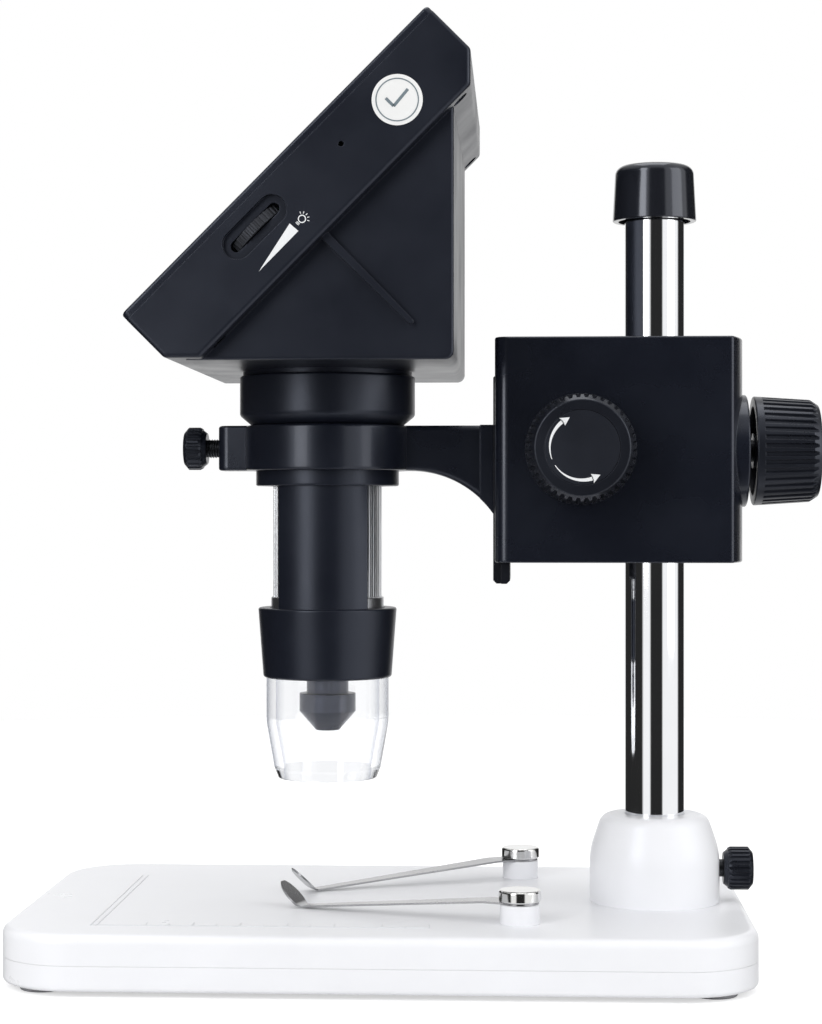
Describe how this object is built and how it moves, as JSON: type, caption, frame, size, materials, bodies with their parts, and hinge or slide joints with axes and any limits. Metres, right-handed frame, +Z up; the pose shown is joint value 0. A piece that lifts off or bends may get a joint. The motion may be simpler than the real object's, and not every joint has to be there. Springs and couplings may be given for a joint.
{
  "type": "digital microscope",
  "caption": "Digital microscope: tilted screen head over a lens barrel in a ring arm, rack-and-pinion focus block on a steel column, white base with stage clips.",
  "frame": {"origin": "on the table, under the middle of the whole outline", "axes": "+Z up; +X from the screen towards the column; the screen faces -X and up"},
  "size_m": [0.2164, 0.12, 0.2503],
  "materials": {
    "white_plastic": "smooth semi-gloss",
    "rubber": "matt",
    "steel": "turned",
    "spring_steel": "bright rolled",
    "chrome": "polished",
    "gloss_black": "gloss",
    "satin_black": "fine satin",
    "black_metal": "satin anodised",
    "dark_plastic": "matt",
    "button_plastic": "satin",
    "brass": "turned",
    "screen_glass": "polished, dark",
    "circuit_board": "solder mask",
    "battery_wrap": "film",
    "white_label": "paper film",
    "lamp_lens": "clear dome",
    "ring_metal": "satin silver",
    "lens_glass": "coated",
    "clear_plastic": "clear"
  },
  "bodies": {
    "base": {"base_upper_shell": "white_plastic", "base_tray": "white_plastic", "base_feet": "rubber", "base_screws": "steel", "column_lock_nut": "steel", "clip_bolts": "chrome"},
    "column": {"column_tube": "chrome", "column_cap": "gloss_black", "column_plug": "dark_plastic"},
    "column_lock": {"column_lock_knob": "satin_black", "column_lock_stud": "steel"},
    "clip_near": {"stage_clip_near": "spring_steel"},
    "clip_far": {"stage_clip_far": "spring_steel"},
    "carriage": {"carriage_block": "black_metal", "lock_insert": "brass", "shaft_bushes": "brass"},
    "carriage_lock": {"lock_knob": "satin_black", "lock_stud": "steel"},
    "focus_shaft": {"pinion_shaft": "steel", "focus_knob_near": "satin_black", "focus_knob_far": "satin_black", "knob_inlay_near": "gloss_black", "knob_inlay_far": "gloss_black"},
    "arm": {"slide_plate": "black_metal", "rack": "steel", "arm_screws": "steel", "holder_arm": "black_metal"},
    "ring_screw": {"ring_screw_knob": "satin_black", "ring_screw_stud": "steel"},
    "head": {"rear_housing": "satin_black", "front_bezel": "satin_black", "screen_glass": "screen_glass", "display_module": "dark_plastic", "main_board": "circuit_board", "dial_base": "dark_plastic", "reset_switch": "dark_plastic", "usb_socket": "steel", "card_socket": "steel", "battery_cell": "battery_wrap", "housing_screws": "steel", "round_sticker": "white_label", "neck_collar": "satin_black", "barrel": "satin_black", "led_board": "circuit_board", "lamps": "lamp_lens", "ring_seat": "dark_plastic", "sensor_board": "circuit_board"},
    "dial": {"brightness_dial": "dark_plastic"},
    "reset": {"reset_button": "dark_plastic"},
    "focus_ring": {"focus_ring": "ring_metal"},
    "lens": {"lens_tube": "satin_black", "lens_stack": "lens_glass"},
    "hood": {"clear_hood": "clear_plastic"},
    "button_1": {"menu_button_1": "button_plastic"},
    "button_2": {"menu_button_2": "button_plastic"},
    "button_3": {"menu_button_3": "button_plastic"},
    "button_4": {"menu_button_4": "button_plastic"},
    "button_5": {"menu_button_5": "button_plastic"}
  },
  "joints": [
    {"name": "column_swivel", "type": "hinge", "parent": "base", "child": "column", "pos_m": [0.06365, 0, 0.02], "axis": [0, 0, 1], "continuous": true},
    {"name": "column_lock_turn", "type": "hinge", "parent": "base", "child": "column_lock", "pos_m": [0.06365, 0, 0.025], "axis": [1, 0, 0], "range_deg": [0, 360]},
    {"name": "clip_near_swing", "type": "hinge", "parent": "base", "child": "clip_near", "pos_m": [0.02665, -0.038, 0.016], "axis": [0, 0, 1], "range_deg": [-6, 110]},
    {"name": "clip_far_swing", "type": "hinge", "parent": "base", "child": "clip_far", "pos_m": [0.02665, 0.038, 0.016], "axis": [0, 0, -1], "range_deg": [-6, 110]},
    {"name": "carriage_slide", "type": "slide", "parent": "column", "child": "carriage", "axis": [0, 0, 1], "range_m": [-0.014, 0.032]},
    {"name": "carriage_lock_turn", "type": "hinge", "parent": "carriage", "child": "carriage_lock", "pos_m": [0.06365, 0, 0.1398], "axis": [1, 0, 0], "range_deg": [0, 360]},
    {"name": "arm_slide", "type": "slide", "parent": "carriage", "child": "arm", "axis": [0, 0, 1], "range_m": [-0.01, 0.01]},
    {"name": "focus_turn", "type": "hinge", "parent": "carriage", "child": "focus_shaft", "pos_m": [0.04295, 0, 0.1398], "axis": [0, 1, 0], "range_deg": [-90, 90]},
    {"name": "ring_screw_turn", "type": "hinge", "parent": "arm", "child": "ring_screw", "pos_m": [-0.05675, 0, 0.1406], "axis": [-1, 0, 0], "range_deg": [0, 360]},
    {"name": "head_swivel", "type": "hinge", "parent": "arm", "child": "head", "pos_m": [-0.02675, 0, 0.1406], "axis": [0, 0, 1], "range_deg": [-20, 20]},
    {"name": "dial_turn", "type": "hinge", "parent": "head", "child": "dial", "pos_m": [-0.04024, -0.0509, 0.19499], "axis": [-0.7071, 0, 0.7071], "range_deg": [0, 270]},
    {"name": "reset_press", "type": "slide", "parent": "head", "child": "reset", "axis": [0, 1, 0], "range_m": [0, 0.0004], "stiffness_N_per_m": 400, "springref_m": -0.0004},
    {"name": "focus_ring_turn", "type": "hinge", "parent": "head", "child": "focus_ring", "pos_m": [-0.02675, 0, 0.111], "axis": [0, 0, 1], "range_deg": [-138, 138]},
    {"name": "lens_slide", "type": "slide", "parent": "head", "child": "lens", "axis": [0, 0, 1], "range_m": [-0.0015, 0.0015]},
    {"name": "hood_pull", "type": "slide", "parent": "head", "child": "hood", "axis": [0, 0, -1], "range_m": [0, 0.007]},
    {"name": "button_1_press", "type": "slide", "parent": "head", "child": "button_1", "axis": [0.7071, 0, -0.7071], "range_m": [0, 0.0005], "stiffness_N_per_m": 600, "springref_m": -0.0006},
    {"name": "button_2_press", "type": "slide", "parent": "head", "child": "button_2", "axis": [0.7071, 0, -0.7071], "range_m": [0, 0.0005], "stiffness_N_per_m": 600, "springref_m": -0.0006},
    {"name": "button_3_press", "type": "slide", "parent": "head", "child": "button_3", "axis": [0.7071, 0, -0.7071], "range_m": [0, 0.0005], "stiffness_N_per_m": 600, "springref_m": -0.0006},
    {"name": "button_4_press", "type": "slide", "parent": "head", "child": "button_4", "axis": [0.7071, 0, -0.7071], "range_m": [0, 0.0005], "stiffness_N_per_m": 600, "springref_m": -0.0006},
    {"name": "button_5_press", "type": "slide", "parent": "head", "child": "button_5", "axis": [0.7071, 0, -0.7071], "range_m": [0, 0.0005], "stiffness_N_per_m": 600, "springref_m": -0.0006}
  ],
  "couplings": [
    {"joint": "focus_turn", "follows": "arm_slide", "rad_per_m": 156.25},
    {"joint": "focus_ring_turn", "follows": "lens_slide", "rad_per_m": 1570.8}
  ]
}
